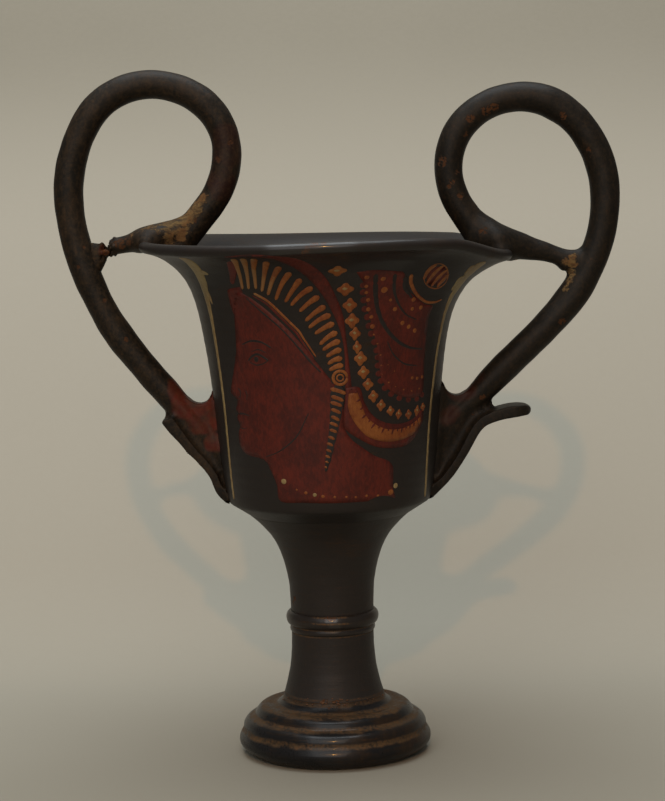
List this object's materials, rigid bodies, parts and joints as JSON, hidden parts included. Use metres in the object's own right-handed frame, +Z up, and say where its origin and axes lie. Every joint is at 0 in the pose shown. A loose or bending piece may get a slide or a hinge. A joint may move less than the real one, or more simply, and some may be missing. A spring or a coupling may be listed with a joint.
{
  "type": "kantharos",
  "caption": "Two-handled drinking cup on a tall moulded stem and stepped foot, with high looped handles, struts and leaf spurs, painted with a draped head in profile.",
  "frame": {"origin": "centre of the foot's resting ring, on the vessel's axis and on the surface it stands on", "axes": "+Z up along the vessel's axis, X through both handles, and the painted side with the head faces -Y"},
  "size_m": [0.1694, 0.1126, 0.2084],
  "materials": {
    "black_gloss": "satin black slip gloss, worn",
    "painted_bowl": "satin black gloss with reserved dark red and added ochre slip",
    "handle_gloss": "worn black gloss with clay showing through",
    "bare_clay": "broken fired clay",
    "slip": "thin fired slip in the joints"
  },
  "bodies": {
    "root": {"foot": "black_gloss", "foot_joint_slip": "slip", "lower_stem": "black_gloss", "stem_joint_slip": "slip", "upper_stem": "black_gloss", "stem_ring": "black_gloss", "bowl_joint_slip": "slip", "bowl": "painted_bowl", "left_handle_loop": "handle_gloss", "left_handle_root": "handle_gloss", "left_spur": "handle_gloss", "left_rim_slip": "slip", "left_strut_slip": "slip", "left_wall_slip": "slip", "left_strut": "handle_gloss", "left_strut_stub": "bare_clay", "right_handle_loop": "handle_gloss", "right_handle_root": "handle_gloss", "right_spur": "handle_gloss", "right_rim_slip": "slip", "right_strut_slip": "slip", "right_wall_slip": "slip", "right_strut": "handle_gloss"}
  },
  "joints": []
}
